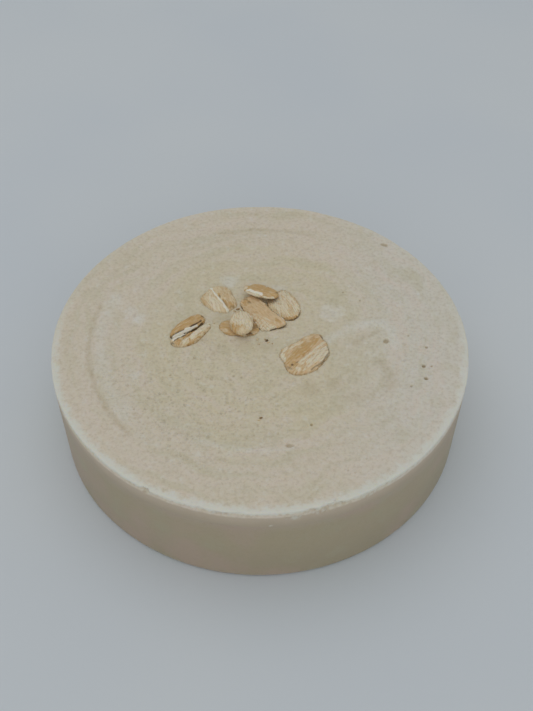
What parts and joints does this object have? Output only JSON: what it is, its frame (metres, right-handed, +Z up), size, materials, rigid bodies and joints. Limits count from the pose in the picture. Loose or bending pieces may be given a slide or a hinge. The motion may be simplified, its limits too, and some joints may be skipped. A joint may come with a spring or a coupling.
{
  "type": "shaving soap puck",
  "caption": "Round puck of shaving soap with a paler poured crust, rolled oat flakes pressed into its face, for a shaving bowl.",
  "frame": {"origin": "centre of the base", "axes": "+Z up through the poured face; +X to the right and +Y away from someone looking at the flakes"},
  "size_m": [0.076, 0.076, 0.0223],
  "materials": {
    "soap": "satin",
    "crust": "matte",
    "bran": "matte",
    "tan_flake": "matte",
    "starch": "matte"
  },
  "bodies": {
    "root": {"soap_body": "soap", "top_crust": "crust", "split_flake_back_half": "bran", "split_flake_front_half": "starch", "seam_flake": "starch", "fan_flake": "starch", "centre_flake": "tan_flake", "perched_flake": "bran", "under_flake": "bran", "round_flake": "starch", "front_flake": "tan_flake", "oat_crumbs": "bran"}
  },
  "joints": []
}
